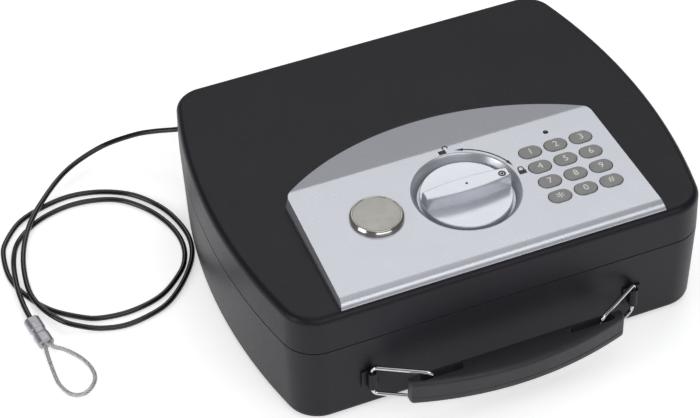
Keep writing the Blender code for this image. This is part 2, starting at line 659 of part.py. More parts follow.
def buildCable():
    across = Matrix.Translation(spot(cableX, 0, cableZ)) @ Matrix.Rotation(-math.pi / 2, 4, "X")
    grommet = [(6.3, 133.0), (6.3, 134.5), (4.3, 134.5), (4.3, 136.9), (7.4, 136.9), (7.4, 138.3), (5.6, 139.3)]
    place("cable_grommet", lathe(grommet, 20), rubber, across)
    place("cable_stop", lathe([(4.0, 117.0), (4.5, 117.6), (4.5, 132.1), (4.0, 132.7)], 16), zinc, across)

    route = [floorPoint(p) for p in cableRoute]
    tube("tether_cable", smoothPath(route, 80), cableRadius, ((0.012, 0.012, 0.014), 0.25, 0.0), 2)

    lead = (floorPoint((-302.7, 13.7, 4.5)) - floorPoint((-306.4, 43.4, 4.5))).normalized()
    start = route[-1] + lead * 0.0004
    side = Vector((0, 0, 1)).cross(lead).normalized()
    at = Matrix.Translation(Vector((start.x, start.y, 4.5 * mm)))
    at = at @ Matrix((side, Vector((0, 0, 1)), lead)).transposed().to_4x4()
    rings = []
    for z, ease in ((0.0, 0.8), (0.8, 0.0), (13.0, 0.0), (13.6, 0.55), (17.4, 0.55), (18.0, 0.0),
                    (28.4, 0.0), (29.2, 0.8)):
        outline = stadium(12.4 - 2 * ease, 8.6 - 2 * ease, 6)
        rings.append([(x, y, z) for x, y in outline])
    place("cable_ferrule", loft(rings), ((0.5, 0.5, 0.53), 0.35, 1.0), at)
    tube("cable_eye", smoothPath([floorPoint(p) for p in eyeRoute], 28), eyeWire, ((0.5, 0.5, 0.5), 0.35, 1.0), 2)


buildBase()
buildHinge()
buildLid()
buildFascia()
buildKeypad()
buildKnob()
buildLock()
buildBattery()
buildHandle()
buildCable()
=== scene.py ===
import math

import bmesh
import bpy
from mathutils import Matrix, Vector


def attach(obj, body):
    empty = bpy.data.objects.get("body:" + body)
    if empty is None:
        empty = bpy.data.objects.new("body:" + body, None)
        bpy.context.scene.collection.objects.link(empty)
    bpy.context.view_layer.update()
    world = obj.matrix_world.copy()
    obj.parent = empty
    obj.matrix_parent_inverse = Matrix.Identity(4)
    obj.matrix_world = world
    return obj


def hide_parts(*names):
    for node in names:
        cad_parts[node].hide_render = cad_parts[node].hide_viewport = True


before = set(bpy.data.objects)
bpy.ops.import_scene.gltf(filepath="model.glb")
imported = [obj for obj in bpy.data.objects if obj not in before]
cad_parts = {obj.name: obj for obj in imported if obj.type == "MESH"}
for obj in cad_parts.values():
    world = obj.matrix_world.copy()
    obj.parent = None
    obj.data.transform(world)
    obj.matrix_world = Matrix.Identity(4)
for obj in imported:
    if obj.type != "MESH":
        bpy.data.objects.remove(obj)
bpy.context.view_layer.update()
print("frame loaded:", len(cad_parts), "nodes")

# Shapes are worked out in millimetres of the case and turned to metres when a piece is finished.
mm = 0.001
case = {
    "depth": 274.0, "frontWidth": 314.3, "backWidth": 304.8, "sideBow": 20.8,
    "frontCorner": 27.3, "backCorner": 23.8, "sheet": 1.2, "rim": 68.6,
    "lidEdge": 69.3, "lidTop": 101.0, "lidRound": 5.5, "lidDraft": 0.6,
    "baseDraft": 1.8, "baseRound": 5.0, "footHeight": 2.0, "shiftY": 16.9,
}
panel = {
    "x": 1.5, "tilt": math.radians(1.8), "creaseY": -15.0, "creaseZ": 110.5, "apexY": 27.35, "facet": -0.2,
    "wallSlope": 0.19, "wallTop": 109.5, "lipY": -124.6, "lipRadius": 8.8,
    "backHalf": 121.7, "frontHalf": 124.6, "sideY": -17.8, "axisY": -63.5,
}
atCase = Matrix.Translation((0.0, case["shiftY"], case["footHeight"]))


def panelHeight(y):
    return panel["creaseZ"] + (y - panel["creaseY"]) * math.tan(panel["tilt"])


panelPlane = (atCase @ Matrix.Translation((panel["x"], panel["axisY"], panelHeight(panel["axisY"])))
              @ Matrix.Rotation(panel["tilt"], 4, "X"))


def onPanel(x, y, z=0.0):
    along = (y - panel["axisY"]) / math.cos(panel["tilt"])
    return panelPlane @ Matrix.Translation((x - panel["x"], along, z))


# The camera stands in front of the box, a little to its left, and looks down at about 43 degrees.
# Its spot is in metres; right, up and back are its own axes in the world.
cameraSettings = {
    "spot": (-0.518598, -1.158853, 1.235136), "lens": 118.55,
    "right": (0.92410601, -0.38134823, -0.02452764), "up": (0.27638929, 0.62267985, 0.73203741),
    "back": (-0.2638883, -0.68325935, 0.68082276),
}


def addCamera():
    data = bpy.data.cameras.new("boxCamera")
    data.lens = cameraSettings["lens"]
    data.sensor_width = 36.0
    camera = bpy.data.objects.new("boxCamera", data)
    bpy.context.scene.collection.objects.link(camera)
    columns = [Vector(cameraSettings[key]) for key in ("right", "up", "back", "spot")]
    camera.matrix_world = Matrix([[c[i] for c in columns] for i in range(3)] + [[0, 0, 0, 1]])
    bpy.context.scene.camera = camera


addCamera()
print("camera placed")


# Colours are written as sRGB and turned to linear light here.
def linear(code):
    values = [int(code[i:i + 2], 16) / 255 for i in (1, 3, 5)]
    return tuple(v / 12.92 if v <= 0.04045 else ((v + 0.055) / 1.055) ** 2.4 for v in values) + (1.0,)


def addNode(tree, kind, links=None, values=None, stops=None, **settings):
    node = tree.nodes.new(kind)
    for key, value in settings.items():
        setattr(node, key, value)
    for key, value in (values or {}).items():
        node.inputs[key].default_value = value
    for i, (position, colour) in enumerate(stops or []):
        spot = node.color_ramp.elements[i] if i < 2 else node.color_ramp.elements.new(position)
        spot.position = position
        spot.color = colour if len(colour) == 4 else (*colour, 1.0)
    for key, (source, output) in (links or {}).items():
        tree.links.new(source.outputs[output], node.inputs[key])
    return node


def perMetre(size):
    return 1000.0 / size  # pattern frequency for a feature size in millimetres


# Every finish: colours, the size in mm of each pattern, and what the roughness runs between.
# relief is a list of (pattern size in mm, height in mm).
def makeFinish(name, tones, toneSize, rough, roughSize, relief, values, stretch=(1, 1, 1), edge=None, fleck=None):
    material = bpy.data.materials.new(name)
    material.use_nodes = True
    tree = material.node_tree
    shader = tree.nodes["Principled BSDF"]
    for key, value in values.items():
        shader.inputs[key].default_value = value
    place = addNode(tree, "ShaderNodeTexCoord")
    spread = addNode(tree, "ShaderNodeMapping", {"Vector": (place, "Object")}, {"Scale": stretch})
    clouds = addNode(tree, "ShaderNodeTexNoise", {"Vector": (place, "Object")},
                     {"Scale": perMetre(toneSize), "Detail": 5.0, "Roughness": 0.62})
    colour = addNode(tree, "ShaderNodeValToRGB", {"Fac": (clouds, "Fac")},
                     stops=[(0.32, linear(tones[0])), (0.68, linear(tones[1]))])
    outlet = (colour, "Color")
    if fleck:
        grains = addNode(tree, "ShaderNodeTexVoronoi", {"Vector": (spread, "Vector")},
                         {"Scale": perMetre(fleck["size"])})
        chosen = addNode(tree, "ShaderNodeValToRGB", {"Fac": (grains, "Color")},
                         stops=[(fleck["from"], (0, 0, 0)), (1.0, (1, 1, 1))])
        mixed = addNode(tree, "ShaderNodeMix", {"Factor": (chosen, "Color")}, data_type="RGBA")
        tree.links.new(outlet[0].outputs[outlet[1]], mixed.inputs[6])
        mixed.inputs[7].default_value = linear(fleck["colour"])
        outlet = (mixed, 2)
    if edge:
        # Edge colour, where a rounded copy of the normal leaves the true one, broken up by the clouds: a lighter
        # edge colour is a painted highlight along rounded edges, a darker one makes the edges darker.
        rounded = addNode(tree, "ShaderNodeBevel", values={"Radius": edge["width"] * mm}, samples=4)
        true = addNode(tree, "ShaderNodeNewGeometry")
        turn = addNode(tree, "ShaderNodeVectorMath", {0: (rounded, "Normal"), 1: (true, "Normal")},
                       operation="DOT_PRODUCT")
        edgeColourMask = addNode(tree, "ShaderNodeMapRange", {"Value": (turn, "Value")},
                       {"From Min": 0.99, "From Max": 0.86, "To Min": 0.0, "To Max": edge["amount"]})
        patch = addNode(tree, "ShaderNodeMath", {0: (edgeColourMask, "Result"), 1: (clouds, "Fac")}, operation="MULTIPLY")
        mixed = addNode(tree, "ShaderNodeMix", {"Factor": (patch, "Value")}, data_type="RGBA")
        tree.links.new(outlet[0].outputs[outlet[1]], mixed.inputs[6])
        mixed.inputs[7].default_value = linear(edge["colour"])
        outlet = (mixed, 2)
    tree.links.new(outlet[0].outputs[outlet[1]], shader.inputs["Base Color"])
    smear = addNode(tree, "ShaderNodeTexNoise", {"Vector": (spread, "Vector")},
                    {"Scale": perMetre(roughSize), "Detail": 4.0, "Roughness": 0.6})
    sheen = addNode(tree, "ShaderNodeMapRange", {"Value": (smear, "Fac")},
                    {"From Min": 0.3, "From Max": 0.7, "To Min": rough[0], "To Max": rough[1]})
    tree.links.new(sheen.outputs["Result"], shader.inputs["Roughness"])
    previous = None
    for size, height in relief:
        bumps = addNode(tree, "ShaderNodeTexNoise", {"Vector": (spread, "Vector")},
                        {"Scale": perMetre(size), "Detail": 3.0, "Roughness": 0.55})
        lift = addNode(tree, "ShaderNodeBump", {"Height": (bumps, "Fac")},
                       {"Strength": 1.0, "Distance": height * mm})
        if previous:
            tree.links.new(previous.outputs["Normal"], lift.inputs["Normal"])
        previous = lift
    if previous:
        tree.links.new(previous.outputs["Normal"], shader.inputs["Normal"])
    return material


# Powder coated steel, baked in an oven: a fine pebbled skin with a soft sheen.
# Real pebbles are about 0.5 mm; drawn near 1.1 mm so that they show.
# Its lighter edge colour is a painted highlight: the thin light line along rounded edges and at the lid's seam.
powderCoat = makeFinish("blackPowderCoat", ("#121118", "#17161f"), 60.0, (0.36, 0.47), 1.6,
                        [(38.0, 0.05), (1.1, 0.016)], {"IOR": 1.5, "Specular IOR Level": 0.26},
                        edge={"colour": "#585860", "width": 0.6, "amount": 0.8},
                        fleck={"size": 0.9, "from": 0.8, "colour": "#24242c"})
# ABS sprayed with silver paint: aluminium flake under a clear satin film.
# Its lighter edge colour is a painted highlight along the edges of the fascia.
silverPaint = makeFinish("silverSprayedAbs", ("#bcbec5", "#bfc1c8"), 60.0, (0.27, 0.29), 14.0,
                         [(2.4, 0.0012)], {"Metallic": 0.55},
                         edge={"colour": "#eceef2", "width": 0.4, "amount": 0.35},
                         fleck={"size": 0.6, "from": 0.35, "colour": "#bfc1c8"})
# The knob's paint is the fascia's silver drawn lighter, as painted highlight for the stronger light on the knob;
# its white edge colour paints bright highlight lines along the ridge edges.
knobPaintLit = makeFinish("silverSprayedKnob", ("#c5c7ce", "#cbccd2"), 30.0, (0.23, 0.25), 10.0,
                       [(2.4, 0.0010)], {"Metallic": 0.6},
                       edge={"colour": "#ffffff", "width": 0.7, "amount": 1.5},
                       fleck={"size": 0.6, "from": 0.35, "colour": "#cdced5"})
# ABS moulded in a spark-eroded tool: matt black with a fine even texture.
mouldedBlack = makeFinish("mouldedBlackAbs", ("#1d1c20", "#242328"), 30.0, (0.40, 0.52), 3.0,
                          [(0.7, 0.010)], {"IOR": 1.53, "Specular IOR Level": 0.45},
                          edge={"colour": "#46454c", "width": 0.5, "amount": 0.6})
# Polished edge and sand-brushed face of a nickel plated brass cap.
nickelEdge = makeFinish("polishedNickel", ("#b3afa8", "#bdbab3"), 12.0, (0.10, 0.18), 2.0,
                        [(1.2, 0.0012)], {"Metallic": 1.0})
nickelFace = makeFinish("brushedNickel", ("#96958f", "#a09f99"), 9.0, (0.32, 0.38), 1.6,
                        [(0.5, 0.0016)], {"Metallic": 0.85}, stretch=(0.12, 1, 1))
# Silicone rubber keys, moulded: dull grey with a skin of fine dust.
# Their lighter edge colour is a painted highlight along the key edges.
keyRubber = makeFinish("mouldedKeyRubber", ("#8e8e8c", "#979795"), 5.0, (0.50, 0.60), 1.1,
                       [(0.6, 0.004)], {"IOR": 1.43, "Specular IOR Level": 0.5},
                       edge={"colour": "#9b9b9b", "width": 0.5, "amount": 0.6})
# Screen printed inks: flat film with pinholes.
whiteInk = makeFinish("printedWhiteInk", ("#e2e2e0", "#f2f2f0"), 1.4, (0.5, 0.62), 0.8, [(0.4, 0.002)],
                      {"IOR": 1.5})
blackInk = makeFinish("printedBlackInk", ("#15151a", "#1e1e24"), 1.4, (0.42, 0.55), 0.8, [(0.4, 0.002)],
                      {"IOR": 1.5})
# Bright chrome on drawn steel wire: mirror with faint drawing lines.
chrome = makeFinish("chromedWire", ("#c9cbd0", "#d6d8dc"), 8.0, (0.05, 0.11), 1.5, [(1.0, 0.0015)],
                    {"Metallic": 1.0}, edge={"colour": "#8d8a84", "width": 0.3, "amount": 0.3})
# Zinc plated sheet steel: cool grey spangle with dull patches.
zincPlate = makeFinish("zincPlatedSteel", ("#9a9da3", "#b7babf"), 3.5, (0.24, 0.42), 4.0, [(2.0, 0.006)],
                       {"Metallic": 1.0}, edge={"colour": "#d7d9dc", "width": 0.4, "amount": 0.5})
# Extruded PVC over the rope: glossy, with slow waves along it from the die.
vinyl = makeFinish("extrudedBlackVinyl", ("#08080a", "#0e0e11"), 25.0, (0.14, 0.24), 5.0,
                   [(6.0, 0.03), (0.9, 0.003)], {"IOR": 1.54, "Specular IOR Level": 0.55})
# Aluminium ferrule, swaged cold: dull with press marks along it.
swagedAluminium = makeFinish("swagedAluminium", ("#a6a6ac", "#bcbcc0"), 4.0, (0.34, 0.52), 1.8,
                             [(2.4, 0.05), (0.7, 0.012)], {"Metallic": 0.9},
                             edge={"colour": "#c6c6c9", "width": 0.5, "amount": 0.7})
# Galvanised steel wires of the rope: bright drawn crowns.
galvanised = makeFinish("galvanisedRopeWire", ("#b2b2b2", "#dcdcda"), 1.6, (0.22, 0.38), 1.2, [(0.6, 0.01)],
                        {"Metallic": 1.0})
# Moulded rubber: soft black with talc left in the pores.
softRubber = makeFinish("mouldedRubber", ("#141416", "#1f1f21"), 4.0, (0.68, 0.85), 2.0, [(0.9, 0.02)],
                        {"IOR": 1.5, "Specular IOR Level": 0.35})
# Needled polyester felt: short crossing fibres, about 0.4 mm, drawn at 0.9 mm.
matFelt = makeFinish("needledFelt", ("#17171a", "#26262b"), 2.2, (0.88, 0.98), 2.0, [(2.6, 0.12), (0.9, 0.10)],
                     {"IOR": 1.45, "Specular IOR Level": 0.2, "Sheen Weight": 0.35, "Sheen Roughness": 0.5},
                     stretch=(1, 0.4, 1), fleck={"size": 1.3, "from": 0.8, "colour": "#3c3c42"})
# Glass-epoxy board under green solder mask, with a faint weave of 0.6 mm bundles.
solderMask = makeFinish("greenSolderMask", ("#0e4a26", "#135a30"), 3.0, (0.28, 0.38), 2.0, [(0.6, 0.008)],
                        {"IOR": 1.55}, fleck={"size": 2.2, "from": 0.9, "colour": "#b08b3f"})
# Smoked acrylic lens, moulded: nearly black and glossy.
smokedLens = makeFinish("smokedAcrylic", ("#09090b", "#101013"), 2.0, (0.06, 0.12), 1.0, [(1.0, 0.002)],
                        {"IOR": 1.49})
# Glass-filled nylon of the solenoid: dark, with fibre streaks.
filledNylon = makeFinish("glassFilledNylon", ("#1b1b20", "#2a2a30"), 2.5, (0.42, 0.58), 1.2, [(1.4, 0.02)],
                         {"IOR": 1.53}, stretch=(1, 0.3, 1))
# Printed foil wrap of the cells: a copper-gold film with small creases.
cellWrap = makeFinish("foilCellWrap", ("#8a6424", "#a0782f"), 7.0, (0.26, 0.40), 3.0, [(5.0, 0.02)],
                      {"Metallic": 0.75})
print("surfaces made:", len(bpy.data.materials))


# Skins equal-count rings and caps the ends, unless the stack closes on itself.
def skin(rings, closed=False):
    shape = bmesh.new()
    rows = [[shape.verts.new(p) for p in ring] for ring in rings]
    count = len(rows[0])
    pairs = list(zip(rows, rows[1:])) + ([(rows[-1], rows[0])] if closed else [])
    for low, high in pairs:
        for i in range(count):
            j = (i + 1) % count
            shape.faces.new((low[i], low[j], high[j], high[i]))
    if not closed:
        shape.faces.new(list(reversed(rows[0])))
        shape.faces.new(rows[-1])
    return shape


def turned(profile, sides=96, closed=False):
    angles = [2 * math.pi * i / sides for i in range(sides)]
    return skin([[(r * math.cos(a), r * math.sin(a), z) for a in angles] for r, z in profile], closed)


def prism(points, low, high):
    return skin([[(x, y, low) for x, y in points], [(x, y, high) for x, y in points]])


def brick(x0, x1, y0, y1, z0, z1):
    return prism([(x0, y0), (x1, y0), (x1, y1), (x0, y1)], z0, z1)


def pill(long, short, steps=20):
    r = short / 2
    run = (long - short) / 2
    ends = [(run, -math.pi / 2), (-run, math.pi / 2)]
    return [(x + r * math.cos(a + math.pi * i / steps), r * math.sin(a + math.pi * i / steps))
            for x, a in ends for i in range(steps + 1)]


def solid(shape, at=atCase):
    bmesh.ops.transform(shape, matrix=at, verts=shape.verts)
    bmesh.ops.remove_doubles(shape, verts=shape.verts, dist=1e-5)
    bmesh.ops.recalc_face_normals(shape, faces=shape.faces)
    mesh = bpy.data.meshes.new("shape")
    shape.to_mesh(mesh)
    shape.free()
    body = bpy.data.objects.new("shape", mesh)
    bpy.context.scene.collection.objects.link(body)
    return body


def keepResult(body):
    bpy.context.view_layer.update()
    graph = bpy.context.evaluated_depsgraph_get()
    mesh = bpy.data.meshes.new_from_object(body.evaluated_get(graph))
    body.modifiers.clear()
    old = body.data
    body.data = mesh
    bpy.data.meshes.remove(old)


def combine(body, other, how="DIFFERENCE"):
    step = body.modifiers.new("step", "BOOLEAN")
    step.operation = how
    step.solver = "EXACT"
    step.object = other
    keepResult(body)
    bpy.data.objects.remove(other, do_unlink=True)
    return body


def finishPiece(body, name, material, rideOn, stands=(), edge=0.0, angle=34.0):
    body.name = name
    mesh = body.data
    mesh.polygons.foreach_set("use_smooth", [True] * len(mesh.polygons))
    if edge:
        soften = body.modifiers.new("soften", "BEVEL")
        soften.width = edge
        soften.segments = 3
        soften.limit_method = "ANGLE"
        soften.angle_limit = math.radians(38)
        keepResult(body)
    body.data.set_sharp_from_angle(angle=math.radians(angle))
    level = body.modifiers.new("level", "WEIGHTED_NORMAL")
    level.keep_sharp = True
    keepResult(body)
    body.data.transform(Matrix.Scale(mm, 4))
    body.data.materials.clear()
    body.data.materials.append(material)
    body.data.name = name
    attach(body, rideOn)
    if stands:
        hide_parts(*stands)
    return body


def framesAlong(path, closed=False):
    count = len(path)
    tangents = []
    for i in range(count):
        before = path[i - 1] if (i > 0 or closed) else path[i]
        after = path[(i + 1) % count] if (i < count - 1 or closed) else path[i]
        tangents.append((after - before).normalized())
    side = Vector((0, 0, 1)).cross(tangents[0])
    side = side.normalized() if side.length > 0.1 else Vector((1, 0, 0))
    frames = []
    for tangent in tangents:
        side = (side - tangent * side.dot(tangent)).normalized()
        frames.append((side, tangent.cross(side)))
    return frames


def wire(path, radius, sides=16, closed=False):
    rings = []
    for point, (side, over) in zip(path, framesAlong(path, closed)):
        rings.append([point + (side * math.cos(a) + over * math.sin(a)) * radius
                      for a in [2 * math.pi * k / sides for k in range(sides)]])
    return skin(rings, closed)


def smoothPath(points, count):
    ghost = [points[0] * 2 - points[1]] + points + [points[-1] * 2 - points[-2]]
    dense = []
    for i in range(1, len(ghost) - 2):
        a, b, c, d = ghost[i - 1:i + 3]
        for k in range(24):
            t = k / 24
            dense.append((b * 2 + (c - a) * t + (a * 2 - b * 5 + c * 4 - d) * t * t
                          + (b * 3 - a - c * 3 + d) * t ** 3) / 2)
    dense.append(points[-1])
    run = [0.0]
    for p, q in zip(dense, dense[1:]):
        run.append(run[-1] + (q - p).length)
    path = []
    k = 0
    for i in range(count):
        want = run[-1] * i / (count - 1)
        while k < len(run) - 2 and run[k + 1] < want:
            k += 1
        path.append(dense[k].lerp(dense[k + 1], (want - run[k]) / (run[k + 1] - run[k])))
    return path, run[-1]


# The tether leaves the back wall, falls to the floor, makes two turns and ends in a ferrule and a rope eye.
# Route and eye are centre lines: case x and y, then height above the floor.
cable = {
    "radius": 2.1, "eyeWire": 1.7, "strands": 6, "lay": 15.0, "exit": (-120.0, 139.6, 44.0),
    "route": [
        (-120.0, 139.6, 44.0), (-120.0, 147.0, 43.9), (-123.0, 157.0, 41.8), (-131.0, 165.5, 38.2),
        (-143.3, 171.8, 34.0), (-159.1, 182.0, 29.5), (-175.6, 190.3, 24.5), (-202.3, 196.9, 15.5),
        (-233.7, 187.7, 9.5), (-262.2, 162.5, 7.2), (-280.6, 137.7, 6.9), (-293.7, 107.0, 6.9),
        (-299.4, 74.0, 6.9), (-296.5, 51.4, 6.9), (-286.7, 31.8, 6.6), (-274.3, 22.0, 4.6),
        (-260.5, 15.7, 2.6), (-242.7, 11.8, 2.2), (-222.5, 14.6, 2.2), (-204.7, 22.0, 2.2),
        (-186.5, 39.7, 2.2), (-172.7, 60.9, 2.2), (-167.5, 81.9, 2.2), (-169.8, 105.5, 2.2),
        (-177.6, 126.9, 2.2), (-192.7, 147.3, 2.2), (-213.9, 160.3, 2.2), (-237.5, 165.6, 2.2),
        (-260.3, 162.4, 2.2), (-283.0, 153.2, 2.2), (-299.7, 135.5, 2.2), (-306.1, 120.9, 2.2),
        (-308.3, 95.1, 2.2), (-302.2, 71.8, 2.2), (-289.6, 49.9, 2.2), (-270.9, 33.4, 2.2),
        (-257.1, 26.4, 2.2), (-233.8, 24.2, 2.2), (-208.1, 30.7, 2.2), (-187.4, 47.7, 2.2),
        (-178.1, 62.3, 2.2), (-174.2, 79.9, 2.2), (-176.2, 100.1, 2.2), (-183.9, 120.7, 2.2),
        (-195.9, 137.9, 2.2), (-209.2, 148.5, 2.2), (-229.3, 154.6, 2.2), (-249.3, 154.5, 2.2),
        (-271.6, 147.2, 2.2), (-291.1, 130.8, 2.9), (-301.5, 106.7, 6.4), (-306.6, 79.5, 6.9),
        (-307.6, 59.6, 5.9), (-306.6, 43.8, 4.6),
    ],
    "eye": [
        (-305.0, 12.9, 4.5), (-305.6, 5.0, 3.4), (-306.2, -9.7, 1.9), (-306.0, -26.2, 1.9),
        (-301.2, -38.2, 1.9), (-293.6, -41.9, 1.9), (-285.4, -38.0, 1.9), (-279.8, -29.2, 1.9),
        (-279.9, -17.5, 1.9), (-284.4, -5.1, 1.9), (-292.0, 4.6, 3.2), (-298.4, 9.6, 4.2),
        (-300.6, 13.4, 4.5),
    ],
}


def floorPoint(point):
    return Vector((point[0], point[1] + case["shiftY"], point[2]))


def buildCable():
    path, length = smoothPath([floorPoint(p) for p in cable["route"]], 260)
    curve = bpy.data.curves.new("tetherCable", "CURVE")
    curve.dimensions = "3D"
    curve.bevel_depth = cable["radius"] * mm
    curve.bevel_resolution = 5
    curve.use_fill_caps = True
    line = curve.splines.new("POLY")
    line.points.add(len(path) - 1)
    line.use_smooth = True
    for target, point in zip(line.points, path):
        target.co = (*(point * mm), 1.0)
    tether = bpy.data.objects.new("tetherCable", curve)
    bpy.context.scene.collection.objects.link(tether)
    curve.materials.append(vinyl)
    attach(tether, "base")
    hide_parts("tether_cable")

    # Oval ferrule with a crimp waist and softened ends; its stations are (along, drawn in).
    lead = (floorPoint((-302.7, 13.7, 4.5)) - floorPoint((-306.4, 43.4, 4.5))).normalized()
    start = floorPoint(cable["route"][-1]) + lead * 0.4
    start.z = 4.5
    side = Vector((0, 0, 1)).cross(lead).normalized()
    at = Matrix.Translation(start) @ Matrix((side, Vector((0, 0, 1)), lead)).transposed().to_4x4()
    stations = [(0.0, 1.1), (0.25, 0.5), (0.8, 0.1), (1.3, 0.0), (11.6, 0.0), (12.4, 0.08), (13.2, 0.45),
                (13.9, 0.58), (17.1, 0.58), (17.8, 0.45), (18.6, 0.08), (19.4, 0.0), (27.9, 0.0),
                (28.4, 0.1), (28.95, 0.5), (29.2, 1.1)]
    rings = [[(x, y, z) for x, y in pill(12.4 - 2 * ease, 8.6 - 2 * ease, 16)] for z, ease in stations]
    ferrule = finishPiece(solid(skin(rings), at), "ferrule", swagedAluminium, "base",
                          ["cable_ferrule"], angle=60)

    # Bare rope eye: six strands laid round the path, over a core.
    path, eyeLength = smoothPath([floorPoint(p) for p in cable["eye"]], 300)
    frames = framesAlong(path)
    strandRadius = 0.6
    shape = wire(path, 0.75, 8)
    for k in range(cable["strands"]):
        twisted = []
        for i, (point, (a, b)) in enumerate(zip(path, frames)):
            turn = 2 * math.pi * (k / cable["strands"] + eyeLength * i / (len(path) - 1) / cable["lay"])
            twisted.append(point + (a * math.cos(turn) + b * math.sin(turn)) * (cable["eyeWire"] - strandRadius))
        strand = wire(twisted, strandRadius, 7)
        mesh = bpy.data.meshes.new("strand")
        strand.to_mesh(mesh)
        strand.free()
        shape.from_mesh(mesh)
        bpy.data.meshes.remove(mesh)
    eye = finishPiece(solid(shape, Matrix()), "ropeEye", galvanised, "base", ["cable_eye"], angle=80)

    across = atCase @ Matrix.Translation((-120.0, 0, 42.0)) @ Matrix.Rotation(-math.pi / 2, 4, "X")
    profile = [(6.1, 133.0), (6.3, 133.3), (6.3, 134.5), (4.3, 134.5), (4.3, 136.9), (7.1, 136.9), (7.4, 137.2),
               (7.4, 138.0), (7.0, 138.5), (6.3, 138.9), (5.6, 139.3)]
    finishPiece(solid(turned(profile, 64), across), "grommet", softRubber, "base", ["cable_grommet"])
    return length


cableLength = buildCable()
print("cable laid: %.0f mm" % cableLength)


# Plan of the case: straight front and back, bowed sides, round corners.
def casePlan(inset, straight=40, corner=14):
    a = Vector((case["frontWidth"] / 2, -case["depth"] / 2))
    b = Vector((case["backWidth"] / 2, case["depth"] / 2))
    bow = case["sideBow"]
    chord = b - a
    length = chord.length
    outward = Vector((chord.y, -chord.x)) / length
    radius = (length * length / 4 + bow * bow) / (2 * bow)
    middle = (a + b) / 2 - outward * (radius - bow)
    side = radius - inset
    points = []
    turns = []
    for corner_, towards in ((case["frontCorner"], -1), (case["backCorner"], 1)):
        r = max(corner_ - inset, 0.6)
        midY = towards * (case["depth"] / 2 - inset - r)
        mid = Vector((middle.x + math.sqrt((side - r) ** 2 - (midY - middle.y) ** 2), midY))
        turns.append((mid, r, math.atan2(mid.y - middle.y, mid.x - middle.x)))
    (front, frontR, first), (back, backR, last) = turns
    for i in range(corner + 1):
        t = -math.pi / 2 + (first + math.pi / 2) * i / corner
        points.append((front.x + frontR * math.cos(t), front.y + frontR * math.sin(t)))
    for i in range(1, straight):
        t = first + (last - first) * i / straight
        points.append((middle.x + side * math.cos(t), middle.y + side * math.sin(t)))
    for i in range(corner + 1):
        t = last + (math.pi / 2 - last) * i / corner
        points.append((back.x + backR * math.cos(t), back.y + backR * math.sin(t)))
    return points + [(-x, y) for x, y in reversed(points)]


def planRing(inset, z):
    return [(x, y, z) for x, y in casePlan(inset)]


def quarter(steps):
    return [math.pi / 2 * i / steps for i in range(steps + 1)]


# Openings in the lid under the fascia, and the feet, as radius, place and profile.
lidCuts = {"knob": (41.4, 1.5, -63.5, 96), "cap": (13.2, -68.8, -63.5, 64),
           "keys": (48.4, 114.6, -106.0, -24.5), "heights": (95.0, 115.0)}
feet = {"x": 120, "y": 104,
        "profile": [(6.6, -2.0), (7.3, -1.9), (7.8, -1.5), (8.0, -1.0), (8.0, -0.3), (2.3, -0.3), (2.3, 1.1)]}


def buildCase():
    bottom = case["baseRound"]
    wall = case["sheet"]
    rings = [planRing(case["baseDraft"] + bottom * (1 - math.sin(t)), bottom * (1 - math.cos(t)))
             for t in quarter(8)]
    rings += [planRing(0.02, case["rim"] - 0.5), planRing(0.12, case["rim"] - 0.15), planRing(0.4, case["rim"])]
    rings += [planRing(wall, case["rim"])]
    inner = bottom - wall
    rings += [planRing(case["baseDraft"] + wall + inner * (1 - math.sin(t)), wall + inner * (1 - math.cos(t)))
              for t in reversed(quarter(6))]
    finishPiece(solid(skin(rings)), "baseShell", powderCoat, "base", ["base_pan"])

    top = case["lidTop"]
    r = case["lidRound"]
    draft = case["lidDraft"]
    outer = [planRing(0.45, case["lidEdge"]), planRing(0.12, case["lidEdge"] + 0.16),
             planRing(0.02, case["lidEdge"] + 0.55)]
    outer += [planRing(draft + r * (1 - math.cos(t)), top - r * (1 - math.sin(t))) for t in quarter(16)]
    inner = r - wall
    under = [planRing(wall, case["lidEdge"])]
    under += [planRing(draft + wall + inner * (1 - math.cos(t)), top - wall - inner * (1 - math.sin(t)))
              for t in quarter(10)]
    lid = solid(skin(list(reversed(outer)) + under))
    for radius, x, y, around in (lidCuts["knob"], lidCuts["cap"]):
        profile = [(radius, z) for z in lidCuts["heights"]]
        combine(lid, solid(turned(profile, around), atCase @ Matrix.Translation((x, y, 0))))
    combine(lid, solid(brick(*lidCuts["keys"], *lidCuts["heights"])))
    finishPiece(lid, "lidShell", powderCoat, "lid", ["lid_shell"])

    for name, x, y in (("front_left", -1, -1), ("front_right", 1, -1), ("back_left", -1, 1), ("back_right", 1, 1)):
        place = atCase @ Matrix.Translation((x * feet["x"], y * feet["y"], 0))
        finishPiece(solid(turned(feet["profile"], 48), place), "foot_" + name, softRubber, "base",
                    ["foot_" + name])


buildCase()
print("case built")


# Plan of the fascia: straight front, slanting sides, bowed back with eased corners.
def panelPlan(grow, steps=64):
    backHalf = panel["backHalf"] + grow
    ends = panel["sideY"]
    rise = panel["apexY"] + grow - ends
    radius = (backHalf * backHalf + rise * rise) / (2 * rise)
    spread = math.asin(backHalf / radius)
    arc = []
    for i in range(steps + 1):
        t = spread - 2 * spread * i / steps
        arc.append(Vector((radius * math.sin(t), ends + rise - radius + radius * math.cos(t))))
    sharp = arc[0]
    down = Vector((panel["frontHalf"] + grow, -142.0))
    ease = 4.5
    fromSide = sharp + (down - sharp).normalized() * ease
    toArc = sharp + (arc[1] - arc[0]).normalized() * ease
    half = [down]
    for i in range(11):
        t = i / 10
        half.append(fromSide * (1 - t) ** 2 + sharp * 2 * t * (1 - t) + toArc * t * t)
    middle = [p for p in arc[1:-1] if abs(p.x) < abs(toArc.x) - 0.6]
    mirrored = [Vector((-p.x, p.y)) for p in reversed(half)]
    return [(p.x + panel["x"], p.y) for p in half + middle + mirrored]


